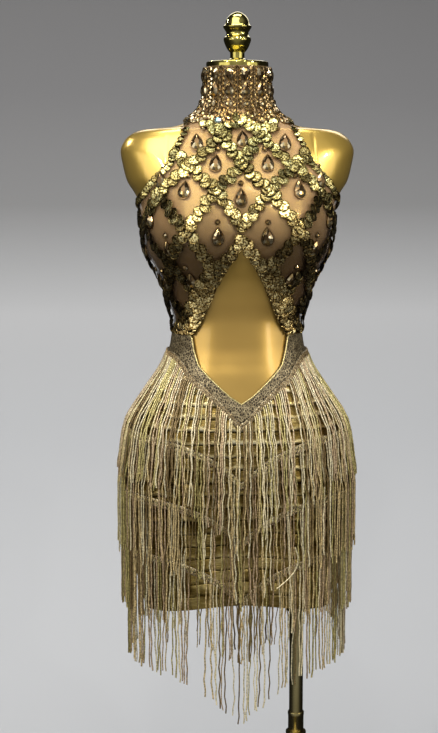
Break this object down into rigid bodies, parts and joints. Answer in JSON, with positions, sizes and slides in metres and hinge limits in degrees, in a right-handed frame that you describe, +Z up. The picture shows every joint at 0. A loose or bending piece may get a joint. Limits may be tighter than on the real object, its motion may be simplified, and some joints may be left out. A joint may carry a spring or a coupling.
{
  "type": "tassel party dress on a dress form stand",
  "caption": "Halter party dress with beaded mesh bodice, keyhole front, tucked gold skirt and V tiers of fringe, on a limbless dress form with telescopic stand.",
  "frame": {"origin": "on the floor, at the centre of the base plate's underside, below the middle of the dress form", "axes": "+Z up, the front of the dress faces -Y, +X to the viewer's right"},
  "size_m": [0.3921, 0.36, 1.575],
  "materials": {
    "form_gold": "mirror gold lacquer over moulded shell",
    "stand_brass": "polished antique brass",
    "beaded_mesh": "sheer nude mesh with sequin chains and drop stones",
    "glitter_band": "taupe silver glitter",
    "gold_lame": "metallic gold lame in horizontal tucks",
    "metallic_fringe": "champagne metallic chainette"
  },
  "bodies": {
    "stand": {"base_plate": "stand_brass", "base_socket": "stand_brass", "lower_tube": "stand_brass", "clamp_band": "stand_brass", "clamp_boss": "stand_brass"},
    "form": {"upper_tube": "stand_brass", "form_socket": "stand_brass", "dress_form": "form_gold", "neck_cap": "form_gold", "finial": "form_gold", "collar": "beaded_mesh", "bodice": "beaded_mesh", "waist_band": "glitter_band", "skirt_front": "gold_lame", "skirt_back": "gold_lame", "fringe_tier_one": "metallic_fringe", "fringe_tier_two": "metallic_fringe", "fringe_tier_three": "metallic_fringe", "fringe_tier_four": "metallic_fringe"},
    "screw": {"clamp_screw": "stand_brass"}
  },
  "joints": [
    {"name": "height", "type": "slide", "parent": "stand", "child": "form", "axis": [0, 0, 1], "range_m": [-0.14, 0.2]},
    {"name": "clamp_turn", "type": "hinge", "parent": "stand", "child": "screw", "pos_m": [0.09133, -0.02499, 0.402], "axis": [-0.2756, -0.9613, 0], "continuous": true}
  ]
}
